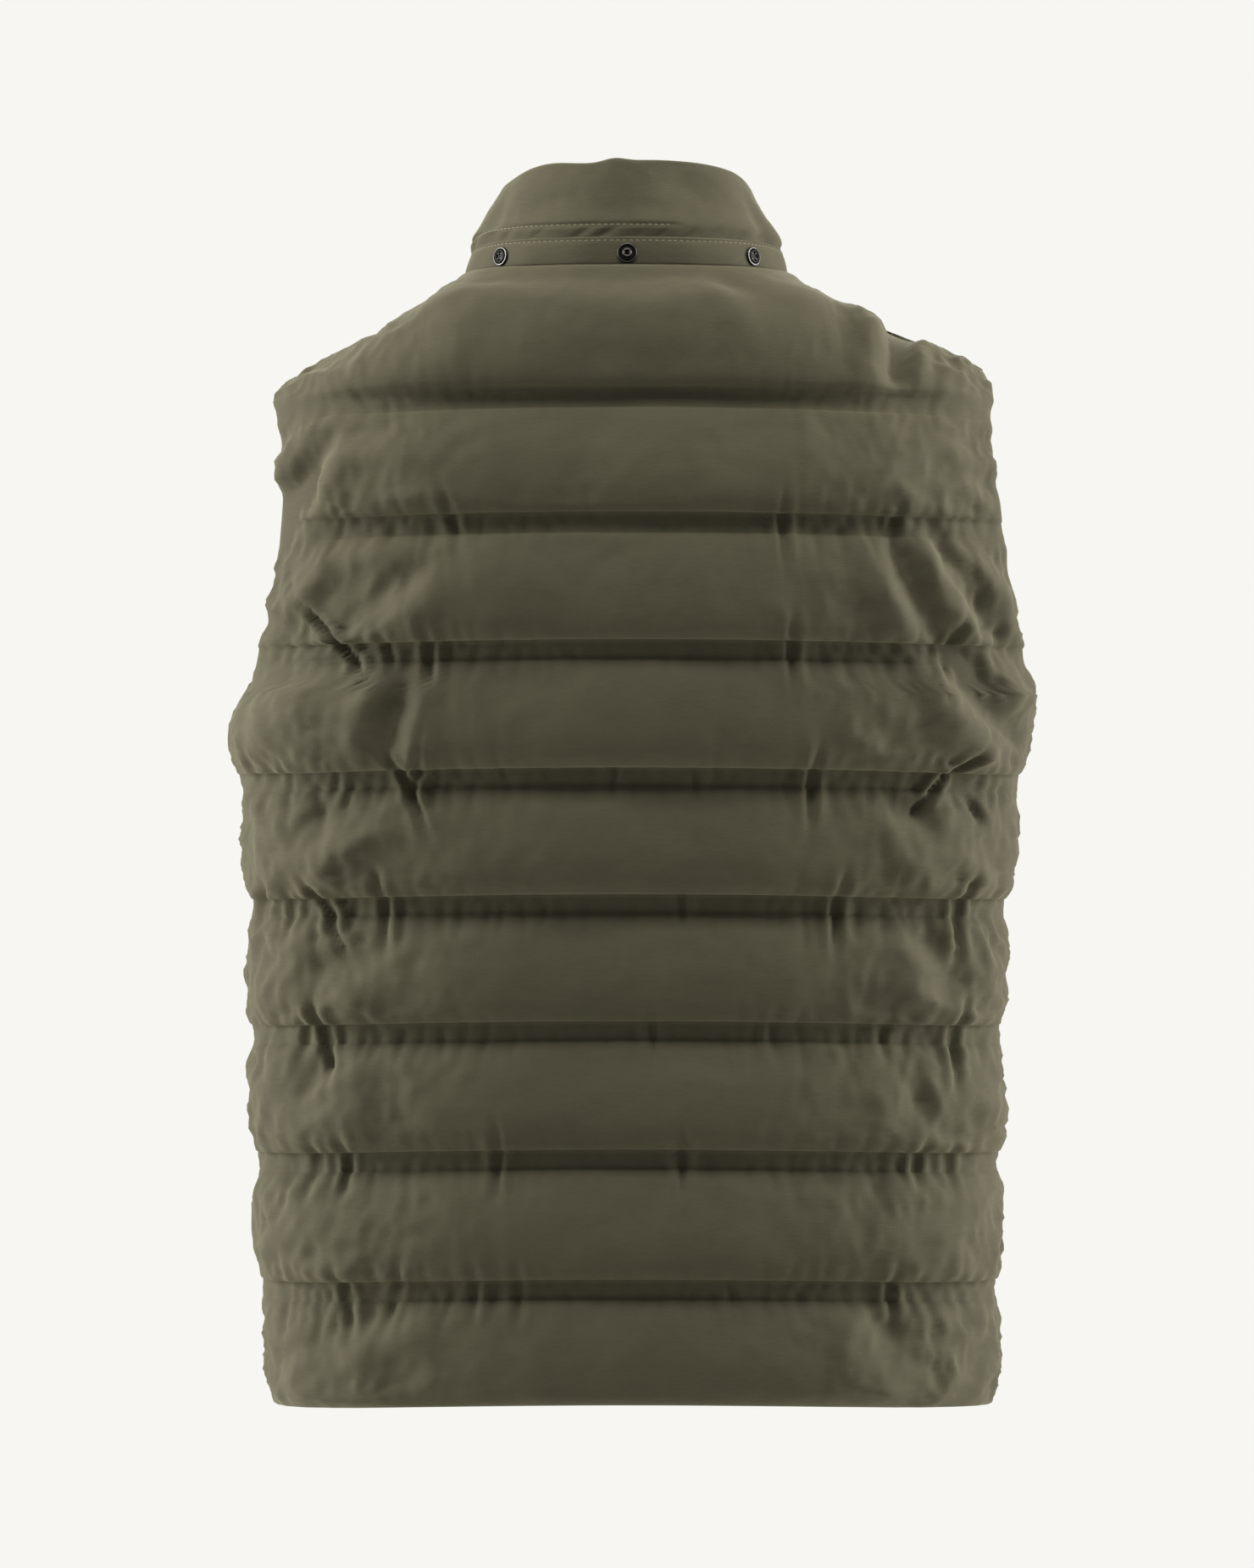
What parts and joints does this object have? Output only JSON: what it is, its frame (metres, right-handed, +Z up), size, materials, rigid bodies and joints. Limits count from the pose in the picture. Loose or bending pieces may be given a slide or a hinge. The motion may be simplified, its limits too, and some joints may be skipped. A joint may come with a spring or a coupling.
{
  "type": "quilted puffer vest with stand collar and hood press studs",
  "caption": "Sleeveless quilted puffer vest, zipped up and filled out, with a stand collar and press studs for a loose hood round the collar's foot.",
  "frame": {"origin": "on the wearer's shoulders, midway between the necks of the two shoulder seams, where the wearer holds the vest up", "axes": "+Z up, the wearer faces +Y so the back of the vest faces -Y, and the wearer's right hand is towards +X"},
  "size_m": [0.477, 0.2818, 0.7323],
  "materials": {
    "shell_cloth": "matt, finely woven olive shell cloth",
    "stud_metal": "dark nickel, polished",
    "zip_tape": "matt woven tape",
    "zip_metal": "dark nickel, satin"
  },
  "bodies": {
    "vest": {"back_panel": "shell_cloth", "front_panel_left": "shell_cloth", "front_panel_right": "shell_cloth", "collar": "shell_cloth", "stud_band": "shell_cloth", "press_stud_left": "stud_metal", "press_stud_centre": "stud_metal", "press_stud_right": "stud_metal", "zip_tape_left": "zip_tape", "zip_tape_right": "zip_tape", "zip_chain": "zip_metal", "zip_slider": "zip_metal"},
    "zip_pull_tab": {"zip_pull": "zip_metal"}
  },
  "joints": [
    {"name": "pull_tab_hinge", "type": "hinge", "parent": "vest", "child": "zip_pull_tab", "pos_m": [0, 0.07557, 0.03807], "axis": [1, 0, 0], "range_deg": [0, 160]}
  ]
}
